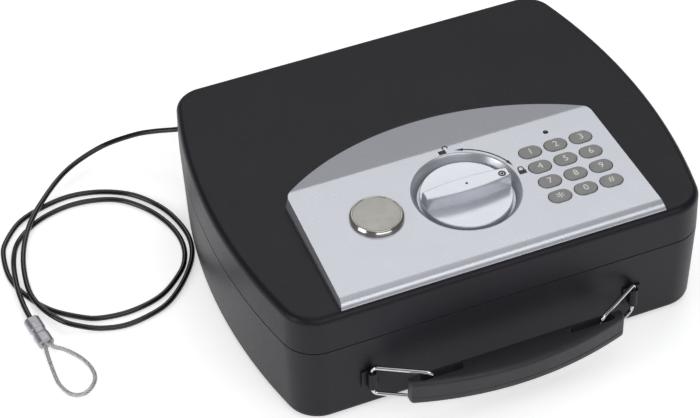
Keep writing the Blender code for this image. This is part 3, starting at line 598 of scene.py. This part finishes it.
def panelSide(lipAngle):
    # Side view, as (y, z): back facet, eased crease, tilted plane, rolled front lip, then the underside.
    rise = panel["facet"]
    fall = math.tan(panel["tilt"])
    span = 1.6
    points = [(40.0, panel["creaseZ"] + rise * (40.0 - panel["creaseY"]))]
    for i in range(7):
        t = 1 - i / 3
        sag = (rise - fall) * span * (1 + t) ** 2 / 4
        points.append((panel["creaseY"] + span * t, panel["creaseZ"] + fall * span * t + sag))
    radius = panel["lipRadius"]
    midY = panel["lipY"] + radius * math.sin(panel["tilt"])
    midZ = panelHeight(panel["lipY"]) - radius * math.cos(panel["tilt"])
    first = math.pi / 2 + panel["tilt"]
    last = math.radians(lipAngle)
    for i in range(25):
        t = first + (last - first) * i / 24
        points.append((midY + radius * math.cos(t), midZ + radius * math.sin(t)))
    lidMidY = -case["depth"] / 2 + case["lidDraft"] + case["lidRound"]
    lidMidZ = case["lidTop"] - case["lidRound"]
    under = case["lidRound"] + 0.3
    endAngle = math.atan2(points[-1][1] - lidMidZ, points[-1][0] - lidMidY)
    for i in range(9):
        t = endAngle + (math.pi / 2 - endAngle) * i / 8
        points.append((lidMidY + under * math.cos(t), lidMidZ + under * math.sin(t)))
    points.append((40.0, case["lidTop"] + 0.3))
    return points


def sweepAcross(section, x0, x1):
    return skin([[(x0, y, z) for y, z in section], [(x1, y, z) for y, z in section]])


keys = {
    "long": 17.3, "short": 12.0, "pitchX": 20.6, "pitchY": 16.65, "first": (60.9, -45.4),
    "names": ("1", "2", "3", "4", "5", "6", "7", "8", "9", "star", "0", "hash"),
    "marks": ("1", "2", "3", "4", "5", "6", "7", "8", "9", "*", "0", "#"), "markHeight": 5.6,
    "oddHeights": {"*": 6.2, "#": 5.4}, "markZ": 1.23,
    "crown": [(0.0, -4.9), (0.0, 0.25), (0.05, 0.5), (0.18, 0.72), (0.4, 0.92), (0.7, 1.06), (1.2, 1.15),
              (2.4, 1.19), (4.2, 1.2)],
}
lens = {"x": 80.9, "y": -30.1}
cap = {"x": -68.8, "radius": 19.8}
well = {"radius": 40.6, "floorRadius": 35.9, "depth": 8.0}


def keySpots():
    return [(name, keys["first"][0] + (i % 3) * keys["pitchX"], keys["first"][1] - (i // 3) * keys["pitchY"])
            for i, name in enumerate(keys["names"])]


def buildPanel():
    plate = solid(sweepAcross(panelSide(161.5), -140.0, 140.0))
    # The side walls lean outwards towards their foot.
    slope, foot = panel["wallSlope"], panel["wallTop"]
    low, high = ([(x, y, z) for x, y in panelPlan(slope * (foot - z))] for z in (90.0, 120.0))
    combine(plate, solid(skin([low, high])), "INTERSECT")
    # A pocket from below takes the key mat and its circuit board.
    first = keys["first"][0]
    pocket = brick(first - 12.0, first + 2 * keys["pitchX"] + 12.0, -105.5, -25.0, -14.0, -3.0)
    combine(plate, solid(pocket, panelPlane @ Matrix.Translation((-panel["x"], -panel["axisY"], 0.0))))
    combine(plate, solid(turned([(40.9, -10.2), (40.9, -1.5)], 128), panelPlane), "UNION")
    rim = well["radius"]
    profile = [(well["floorRadius"], -well["depth"]), (well["floorRadius"], -6.6), (rim - 1.35, -1.55)]
    profile += [(rim - 1.0, -0.95), (rim - 0.55, -0.45), (rim - 0.05, -0.12), (rim + 0.6, 0.04), (rim + 0.6, 3.0)]
    combine(plate, solid(turned(profile, 128), panelPlane))
    for name, x, y in keySpots():
        combine(plate, solid(prism(pill(keys["long"] + 1.0, keys["short"] + 1.0, 16), -12.0, 4.0), onPanel(x, y)))
    combine(plate, solid(turned([(2.0, -12.0), (2.0, 4.0)], 32), onPanel(lens["x"], lens["y"])))
    finishPiece(plate, "fasciaPlate", silverPaint, "lid", ["fascia"], edge=0.22)

    # A thin dark bead closes the joint between the foot of the panel and the lid.
    bead = solid(prism(panelPlan(2.8), case["lidTop"] + 0.1, case["lidTop"] + 0.8))
    combine(bead, solid(prism(panelPlan(1.85), 90.0, 120.0)))
    combine(bead, solid(brick(-150.0, 150.0, -160.0, -129.5, 90.0, 120.0)))
    finishPiece(bead, "fasciaBead", mouldedBlack, "lid", ["fascia_bezel"], edge=0.2)

    profile = [(1.7, -6.9), (1.7, -0.1), (1.6, 0.2), (1.35, 0.45), (1.0, 0.6), (0.5, 0.68)]
    finishPiece(solid(turned(profile, 32), onPanel(lens["x"], lens["y"])), "ledLens", smokedLens, "lid",
                ["led_lens"], angle=60)


buildPanel()
print("fascia built")


# Printed characters, as flat meshes.
def lettering(text, height):
    curve = bpy.data.curves.new("letter", "FONT")
    curve.body = text
    curve.size = 10.0
    curve.resolution_u = 6
    letter = bpy.data.objects.new("letter", curve)
    bpy.context.scene.collection.objects.link(letter)
    bpy.context.view_layer.update()
    flat = bpy.data.meshes.new_from_object(letter.evaluated_get(bpy.context.evaluated_depsgraph_get()))
    shape = bmesh.new()
    shape.from_mesh(flat)
    bpy.data.objects.remove(letter, do_unlink=True)
    xs = [v.co.x for v in shape.verts]
    ys = [v.co.y for v in shape.verts]
    scale = height / (max(ys) - min(ys))
    bmesh.ops.translate(shape, vec=(-(max(xs) + min(xs)) / 2, -(max(ys) + min(ys)) / 2, 0), verts=shape.verts)
    bmesh.ops.scale(shape, vec=(scale, scale, 1), verts=shape.verts)
    return thicken(shape, 0.09)


def thicken(shape, height):
    # Turns a flat shape at z 0 into a closed film that reaches down by its height.
    bmesh.ops.remove_doubles(shape, verts=shape.verts, dist=1e-4)
    raised = bmesh.ops.extrude_face_region(shape, geom=list(shape.faces))
    moved = [v for v in raised["geom"] if isinstance(v, bmesh.types.BMVert)]
    bmesh.ops.translate(shape, vec=(0, 0, height), verts=moved)
    bmesh.ops.translate(shape, vec=(0, 0, -height), verts=shape.verts)
    # The extrusion returns its parts in no fixed order, so they are ranked by place.
    for parts, place in ((shape.verts, lambda v: v.co), (shape.faces, lambda f: f.calc_center_median())):
        placed = sorted(parts, key=lambda p: tuple(round(c, 5) for c in place(p)))
        rank = {p: i for i, p in enumerate(placed)}
        parts.sort(key=lambda p: rank[p])
    return shape


def flatBand(path, width):
    # A flat strip of one width along (x, y) points.
    shape = bmesh.new()
    rows = []
    for i, p in enumerate(path):
        before = Vector(path[max(i - 1, 0)])
        after = Vector(path[min(i + 1, len(path) - 1)])
        along = (after - before).normalized()
        over = Vector((-along.y, along.x)) * width / 2
        rows.append([shape.verts.new((p[0] + s * over.x, p[1] + s * over.y, 0)) for s in (-1, 1)])
    for low, high in zip(rows, rows[1:]):
        shape.faces.new((low[0], high[0], high[1], low[1]))
    return shape


def flatShape(points):
    shape = bmesh.new()
    shape.faces.new([shape.verts.new((x, y, 0)) for x, y in points])
    return shape


def mergeShapes(first, others):
    for shape in others:
        mesh = bpy.data.meshes.new("part")
        shape.to_mesh(mesh)
        shape.free()
        first.from_mesh(mesh)
        bpy.data.meshes.remove(mesh)
    return first


def buildKeys():
    for (name, x, y), mark in zip(keySpots(), keys["marks"]):
        rings = []
        for inset, z in keys["crown"]:
            outline = pill(keys["long"] - 2 * inset, keys["short"] - 2 * inset, 16)
            rings.append([(px, py, z) for px, py in outline])
        body = "button_" + name
        finishPiece(solid(skin(rings), onPanel(x, y)), "keyCap_" + name, keyRubber, body,
                    ["key_" + name], angle=70)
        printed = lettering(mark, keys["oddHeights"].get(mark, keys["markHeight"]))
        finishPiece(solid(printed, onPanel(x + 0.1, y + 0.1, keys["markZ"])), "keyMark_" + name, whiteInk, body)


# Print on the panel: a turn arrow round the knob and a padlock at either end of it.
prints = {
    "film": 0.07, "raise": 0.045, "arrowRadius": 43.2, "arrowTurns": (22.0, 69.5), "arrowWidth": 1.1,
    "arrowHeads": ((69.0, 77.6), (22.5, 13.9)), "headHalf": 1.4, "hoop": 1.9, "hoopZ": 3.2, "hoopWidth": 0.95,
    "swing": 3.6, "lockHalf": 2.9, "lockLow": -2.4, "lockHigh": 1.5,
    "locks": (("lockedMark", 47.1, -61.4, False), ("openMark", 1.6, -19.9, True)),
}


def padlock(opened):
    half, low, high, hoop = (prints[k] for k in ("lockHalf", "lockLow", "lockHigh", "hoop"))
    body = flatShape([(-half, low), (half, low), (half, high), (-half, high)])
    aside = prints["swing"] if opened else 0.0
    ends = ((aside + hoop, 2.3), (1.7, 1.4)) if opened else ((hoop, 1.4), (-2.0, 1.4))
    turns = [math.pi * i / 16 for i in range(17)]
    bend = [(aside + hoop * math.cos(t), prints["hoopZ"] + hoop * math.sin(t)) for t in turns]
    return (thicken(body, prints["film"]),
            thicken(flatBand([ends[0]] + bend + [ends[1]], prints["hoopWidth"]), prints["film"]))


def buildMarks():
    radius = prints["arrowRadius"]
    film = prints["film"]
    low, high = prints["arrowTurns"]
    turns = [math.radians(low + (high - low) * i / 40) for i in range(41)]
    path = [(radius * math.cos(t), radius * math.sin(t)) for t in turns]
    line = thicken(flatBand(path, prints["arrowWidth"]), film)
    heads = []
    for at, tip in prints["arrowHeads"]:
        a, b = math.radians(at), math.radians(tip)
        base = [((radius + s) * math.cos(a), (radius + s) * math.sin(a))
                for s in (-prints["headHalf"], prints["headHalf"])]
        heads.append(thicken(flatShape(base + [(radius * math.cos(b), radius * math.sin(b))]), film))
    place = panelPlane @ Matrix.Translation((0, 0, prints["raise"]))
    finishPiece(solid(mergeShapes(line, heads), place), "turnArrow", blackInk, "lid")
    for name, x, y, opened in prints["locks"]:
        body, hoop = padlock(opened)
        finishPiece(solid(mergeShapes(body, [hoop]), onPanel(x, y, prints["raise"])), name, blackInk, "lid")


buildKeys()
buildMarks()
print("keys and marks built")


# The knob is a dished disc under a grip ridge that is widest in the middle.
knob = {"radius": 34.0, "discTop": -3.45, "ridgeTop": 7.3, "ridgeHalf": 33.4, "dish": 0.5, "endWide": 4.1,
        "swell": 2.7, "pointer": (27.6, -0.8)}


def ridgeOutline(short, flare, steps=28):
    half = knob["ridgeHalf"] - short
    points = []
    for i in range(steps + 1):
        u = -1 + 2 * i / steps
        points.append((half * u, -(knob["endWide"] + knob["swell"] * (1 - u * u) + flare)))
    return points + [(-x, -y) for x, y in points]


def buildKnob():
    r = knob["radius"]
    top = knob["discTop"]
    profile = [(r - 0.3, -7.7), (r, -7.4), (r, top - 0.7), (r - 0.12, top - 0.3), (r - 0.45, top - 0.06),
               (r - 0.95, top)]
    for i in range(1, 13):
        u = 1 - i / 12
        profile.append((max((r - 0.95) * u, 0.4), top - knob["dish"] * (1 - u * u)))
    disc = solid(turned(profile, 128), panelPlane)
    crest = knob["ridgeTop"]
    rings = []
    for z, short, flare in ((top - 1.4, 0.0, 1.6), (top + 0.1, 0.0, 1.45), (top + 0.8, 0.0, 1.15),
                            (crest - 1.4, 0.2, 0.15), (crest - 0.8, 0.35, -0.02), (crest - 0.35, 0.55, -0.22),
                            (crest - 0.08, 0.85, -0.5), (crest, 1.2, -0.85)):
        rings.append([(x, y, z) for x, y in ridgeOutline(short, flare)])
    combine(disc, solid(skin(rings), panelPlane), "UNION")
    finishPiece(disc, "turnKnob", knobPaintLit, "knob_group", ["knob"], edge=0.0, angle=40)

    ring = turned([(1.65, -0.02), (2.9, -0.02), (2.9, 0.07), (1.65, 0.07)], 40, closed=True)
    pupil = turned([(1.1, -0.02), (1.1, 0.07)], 24)
    pointer = mergeShapes(ring, [pupil])
    onRidge = panelPlane @ Matrix.Translation((*knob["pointer"], knob["ridgeTop"]))
    finishPiece(solid(pointer, onRidge), "pointerMark", blackInk, "knob_group")
    centre = panelPlane @ Matrix.Translation((0.0, 0.0, knob["ridgeTop"]))
    finishPiece(solid(turned([(1.0, -0.02), (1.0, 0.05)], 24), centre), "centreMark", blackInk, "knob_group")


def buildCap():
    at = onPanel(cap["x"], panel["axisY"])
    r = cap["radius"]
    rim = [(14.2, 2.4), (14.2, 0.35), (r - 0.35, 0.35), (r - 0.1, 0.45), (r, 0.75), (r, 1.5), (r - 0.08, 1.9),
           (r - 0.32, 2.25), (r - 0.75, 2.72), (r - 1.15, 3.2), (r - 1.35, 3.6), (r - 1.6, 3.84), (r - 1.95, 3.9),
           (r - 2.25, 3.8), (17.4, 3.55)]
    finishPiece(solid(turned(rim, 128), at), "capRim", nickelEdge, "cap", ["override_cap"],
                angle=50)
    face = [(17.35, 3.2), (17.35, 3.62), (17.15, 3.74), (16.6, 3.78), (8.0, 3.86), (0.5, 3.89)]
    finishPiece(solid(turned(face, 128), at), "capFace", nickelFace, "cap", angle=50)


buildKnob()
buildCap()
print("knob and cap built")


# The grip bows forward between two wire loops that turn on upright pivots.
handle = {
    "x": -2.3, "front": -178.5, "bow": 14.0, "half": 84.0, "low": 20.0, "high": 41.6, "bailLength": 43.0,
    "bailAngle": math.radians(30.5), "bailWire": 1.5, "pivotX": 103.7, "pivotY": -140.2,
    "wireHigh": 43.8, "wireLow": 17.7, "bend": 4.0, "slotX": 58.5, "slotSize": (36.0, 5.4), "pinMarkX": 35.0,
}
bracket = {"half": 7.0, "back": (-137.9, -136.7), "heights": (23.2, 38.4), "barrel": 3.3, "bore": 1.85}
handle["slotY"] = handle["pivotY"] - handle["bailLength"] * math.sin(handle["bailAngle"])


def gripSection(x, squeeze):
    # Flat back, crowned front with a shallow styling line low down, generous edges.
    f = handle["front"] + handle["bow"] * (x / handle["half"]) ** 2 + squeeze
    back = handle["slotY"] + 4.8 - squeeze * 0.3
    low, high = handle["low"] + squeeze, handle["high"] - squeeze
    points = []
    for midY, midZ, r, start in ((back - 1.2, low + 1.2, 1.2, 0), (f + 3.4, low + 3.4, 3.4, -90)):
        turns = [math.radians(start - 90 * i / 6) for i in range(7)]
        points += [(midY + r * math.cos(t), midZ + r * math.sin(t)) for t in turns]
    points += [(f, low + 6.2), (f + 0.35, low + 6.6), (f + 0.35, low + 7.0), (f, low + 7.4), (f, high - 3.6)]
    for midY, midZ, r, start in ((f + 3.4, high - 3.4, 3.4, 180), (back - 1.2, high - 1.2, 1.2, 90)):
        turns = [math.radians(start - 90 * i / 6) for i in range(7)]
        points += [(midY + r * math.cos(t), midZ + r * math.sin(t)) for t in turns]
    return points


def buildHandle():
    half = handle["half"]
    stations = [(-half, 1.6), (-half + 0.25, 0.9), (-half + 0.8, 0.35), (-half + 1.6, 0.05)]
    stations += [(-half + 2.6 + (2 * half - 5.2) * i / 44, 0.0) for i in range(45)]
    stations += [(half - 1.6, 0.05), (half - 0.8, 0.35), (half - 0.25, 0.9), (half, 1.6)]
    grip = solid(skin([[(x, y, z) for y, z in gripSection(x, s)] for x, s in stations]),
                 atCase @ Matrix.Translation((handle["x"], 0, 0)))
    for side in (-1, 1):
        middle = side * handle["slotX"] + handle["x"]
        slot = prism([(x + middle, y + handle["slotY"]) for x, y in pill(*handle["slotSize"], 16)], 0.0, 60.0)
        combine(grip, solid(slot))
        # Moulded pin mark beside the inner end of each slot.
        across = handle["x"] + side * handle["pinMarkX"]
        at = atCase @ Matrix.Translation((across, handle["slotY"], handle["high"]))
        combine(grip, solid(turned([(1.15, -0.5), (1.9, -0.45), (1.9, 0.6), (1.15, 0.6)], 32, closed=True), at))
    finishPiece(grip, "gripBar", mouldedBlack, "grip", ["handle_grip"], angle=30)

    bend = handle["bend"]
    long, low, high = handle["bailLength"], handle["wireLow"], handle["wireHigh"]
    for name, body, side in (("bail_left", "bail_l", -1), ("bail_right", "bail_r", 1)):
        path = []
        for cx, cz, start in ((bend, low + bend, 180), (long - bend, low + bend, 270),
                              (long - bend, high - bend, 0), (bend, high - bend, 90)):
            for i in range(13):
                t = math.radians(start + 90 * i / 12)
                path.append(Vector((cx + bend * math.cos(t), 0, cz + bend * math.sin(t))))
        turn = -handle["bailAngle"] if side < 0 else math.pi + handle["bailAngle"]
        pivot = Matrix.Translation((handle["x"] + side * handle["pivotX"], handle["pivotY"], 0))
        at = atCase @ pivot @ Matrix.Rotation(turn, 4, "Z")
        finishPiece(solid(wire(path, handle["bailWire"], 20, True), at), "wireLoop" + name[4:], chrome, body,
                    [name], angle=80)

    for name, side in (("bracket_left", -1), ("bracket_right", 1)):
        at = atCase @ Matrix.Translation((handle["x"] + side * handle["pivotX"], 0, 0))
        plate = solid(brick(-bracket["half"], bracket["half"], *bracket["back"], *bracket["heights"]), at)
        onPivot = at @ Matrix.Translation((0, handle["pivotY"], 0))
        barrel = turned([(bracket["barrel"], z) for z in bracket["heights"]], 48)
        combine(plate, solid(barrel, onPivot), "UNION")
        combine(plate, solid(turned([(bracket["bore"], 20.0), (bracket["bore"], 41.0)], 48), onPivot))
        finishPiece(plate, name + "_pressed", powderCoat, "base", [name], edge=0.3)


buildHandle()
print("handle built")


# A rolled hinge with five knuckles joins the back walls.
hinge = {
    "y": 139.8, "z": 69.0, "half": 88.0, "knuckle": 35.2, "gap": 0.5, "barrel": 2.4, "bore": 1.7,
    "leaf": (137.4, 138.6), "web": 4.0, "rivetX": (-70.0, -35.0, 0.0, 35.0, 70.0), "rivetY": 138.5,
    "rivet": [(3.0, -0.2), (3.0, 0.05), (2.7, 0.45), (2.0, 0.75), (1.0, 0.92), (0.3, 0.95)],
}


def buildHinge():
    starts = [-hinge["half"] + i * hinge["knuckle"] for i in range(5)]
    axis = atCase @ Matrix.Translation((0, hinge["y"], hinge["z"])) @ Matrix.Rotation(math.pi / 2, 4, "Y")
    for name, parity, plate, body in (("hinge_leaf_base", 0, (55.0, 66.0), "base"),
                                      ("hinge_leaf_lid", 1, (72.0, 83.0), "lid")):
        leaf = solid(brick(-hinge["half"], hinge["half"], *hinge["leaf"], *plate))
        web = (hinge["z"] - hinge["web"], hinge["z"]) if parity == 0 else (hinge["z"], hinge["z"] + hinge["web"])
        for i, x0 in enumerate(starts):
            if i % 2 != parity:
                continue
            x1 = x0 + hinge["knuckle"] - hinge["gap"]
            combine(leaf, solid(brick(x0, x1, *hinge["leaf"], *web)), "UNION")
            combine(leaf, solid(turned([(hinge["barrel"], x0), (hinge["barrel"], x1)], 32), axis), "UNION")
        combine(leaf, solid(turned([(hinge["bore"], -90.0), (hinge["bore"], 90.0)], 32), axis))
        # Flush rivet heads hold each leaf to its wall.
        middle = sum(plate) / 2
        for x in hinge["rivetX"]:
            at = atCase @ Matrix.Translation((x, hinge["rivetY"], middle)) @ Matrix.Rotation(-math.pi / 2, 4, "X")
            combine(leaf, solid(turned(hinge["rivet"], 32), at), "UNION")
        finishPiece(leaf, name + "_rolled", powderCoat, body, [name], edge=0.15)


buildHinge()
print("hinge built")


# Hidden pieces keep the shapes of the frame and only get new surfaces.
carried = {
    "rim_lip": powderCoat, "floor_mat": matFelt, "keeper_left": zincPlate, "keeper_right": zincPlate,
    "hinge_pin": zincPlate, "keypad_mat": softRubber, "keypad_board": solderMask, "knob_spindle": zincPlate,
    "lock_cam": zincPlate, "lock_housing": mouldedBlack, "bolt_carriage": zincPlate, "solenoid_body": filledNylon,
    "solenoid_plunger": zincPlate, "override_body": nickelEdge, "override_plug": nickelEdge,
    "battery_box": mouldedBlack, "battery_cover": mouldedBlack, "cable_stop": zincPlate,
    "cell_1": cellWrap, "cell_2": cellWrap, "cell_3": cellWrap, "cell_4": cellWrap,
}
for name, material in carried.items():
    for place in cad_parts[name].material_slots:
        place.material = material
print("frame nodes dressed:", len(carried))


# White paper floor, soft boxes around and above.
studio = {
    "floor": 9.0, "sky": 0.2, "paperGlow": 0.5,
    # name, place, aim, size, watts
    "lamps": (
        ("backSoftbox", (0.7, 1.9, 2.6), (0, 0.1, 0.1), (3.4, 1.5), 25.0),
        ("topSoftbox", (0.0, -0.2, 3.0), (0, -0.2, 0), (2.6, 2.5), 13.0),
        ("lowBackSoftbox", (0.7, 3.0, 1.25), (0, 0.1, 0.1), (3.0, 0.8), 2.2),
        ("frontSoftbox", (0.2, -2.3, 2.0), (0, 0, 0.1), (2.8, 1.4), 28.0),
        ("leftSoftbox", (-2.9, -0.5, 1.35), (0, 0, 0.1), (1.5, 1.0), 22.0),
    ),
}


def addPanel(name, at, aim, size, power):
    data = bpy.data.lights.new(name, "AREA")
    data.shape = "RECTANGLE"
    data.size, data.size_y = size
    data.energy = power
    data.color = (1, 1, 1)
    lamp = bpy.data.objects.new(name, data)
    bpy.context.scene.collection.objects.link(lamp)
    lamp.location = at
    lamp.rotation_euler = (Vector(aim) - Vector(at)).to_track_quat("-Z", "Y").to_euler()


def buildStudio():
    half = studio["floor"] / 2
    shape = prism([(-half, -half), (half, -half), (half, half), (-half, half)], -0.02, 0.0)
    mesh = bpy.data.meshes.new("studioFloor")
    shape.to_mesh(mesh)
    shape.free()
    floor = bpy.data.objects.new("studioFloor", mesh)
    bpy.context.scene.collection.objects.link(floor)
    # Matt white paper sweep, pressed smooth.
    paper = makeFinish("mattPaper", ("#f3f3f3", "#f8f8f8"), 400.0, (0.8, 0.9), 60.0, [(3.0, 0.01)],
                       {"Specular IOR Level": 0.1, "Emission Color": (1, 1, 1, 1),
                        "Emission Strength": studio["paperGlow"]})
    mesh.materials.append(paper)
    world = bpy.data.worlds.new("studioAir")
    bpy.context.scene.world = world
    world.use_nodes = True
    world.node_tree.nodes["Background"].inputs["Color"].default_value = linear("#f4f6fa")
    world.node_tree.nodes["Background"].inputs["Strength"].default_value = studio["sky"]
    for name, at, aim, size, power in studio["lamps"]:
        addPanel(name, at, aim, size, power)
    bpy.context.scene.view_settings.view_transform = "Standard"


buildStudio()
print("studio lit")
